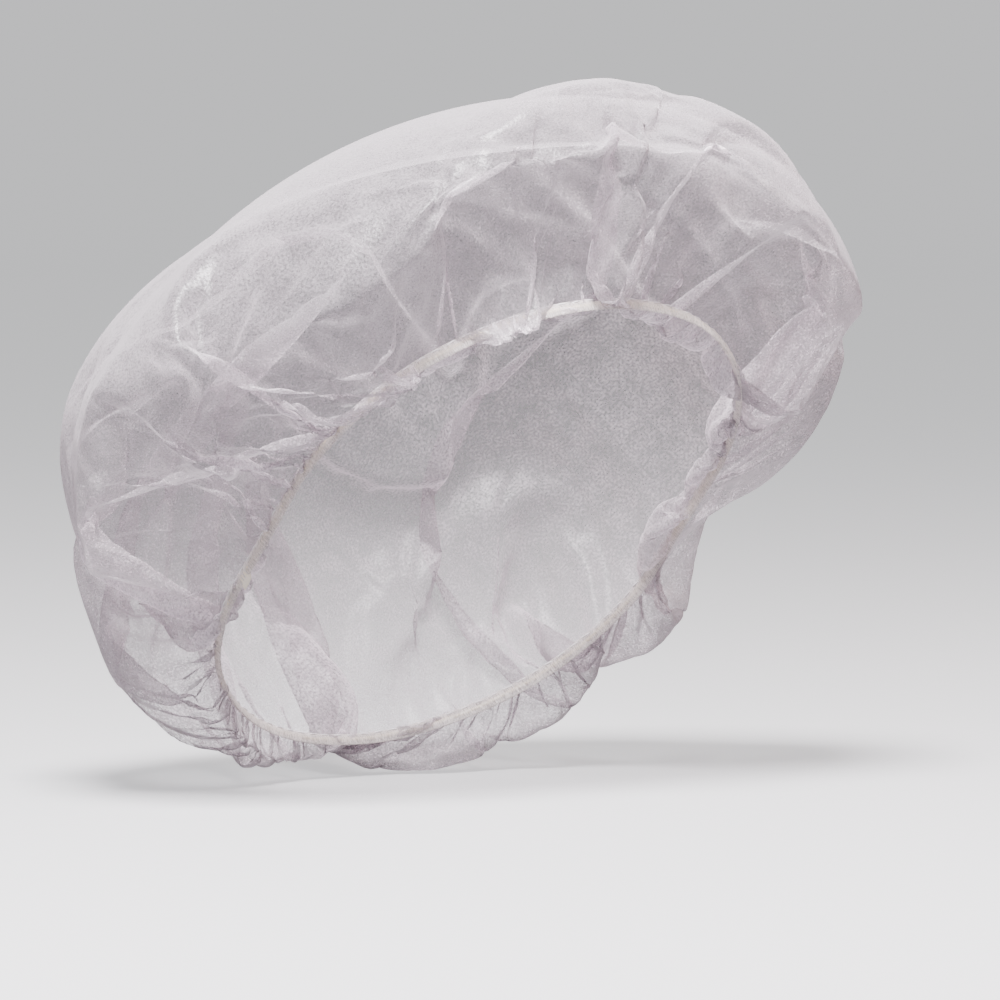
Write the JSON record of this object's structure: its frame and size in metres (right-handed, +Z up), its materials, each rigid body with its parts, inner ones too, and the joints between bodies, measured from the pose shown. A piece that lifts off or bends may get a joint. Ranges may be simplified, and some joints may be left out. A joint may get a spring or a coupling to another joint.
{
  "type": "disposable bouffant cap",
  "caption": "Puffed hygiene cap of thin gathered non-woven fabric with an elastic hem loop, in its worn shape; it covers the hair.",
  "frame": {"origin": "centre of the head opening, in the plane of the hem loop", "axes": "+Z up as worn, -Y towards the forehead, +Y towards the nape, -X the wearer's right; the hem loop's plane tips 45 degrees, up at the forehead and down at the nape"},
  "size_m": [0.2668, 0.2009, 0.2116],
  "materials": {
    "crown_fabric": "sheer spunbond non-woven, see-through where it is one layer thick",
    "hem_fabric": "the same non-woven folded over and finely crimped by the elastic",
    "elastic": "matt cream rubber strand",
    "join_tab": "matt cream, pressed",
    "thread": "white spun thread"
  },
  "bodies": {
    "cap": {"crown": "crown_fabric", "hem_casing": "hem_fabric", "elastic_loop": "elastic", "needle_thread": "thread", "bobbin_thread": "thread"},
    "join_side": {"elastic_join": "join_tab"}
  },
  "joints": [
    {"name": "hem_stretch", "type": "slide", "parent": "cap", "child": "join_side", "axis": [-1, 0, 0], "range_m": [-0.03, 0.05], "stiffness_N_per_m": 12, "springref_m": -0.03, "deforming": ["crown", "hem_casing", "elastic_loop", "needle_thread", "bobbin_thread"]}
  ]
}
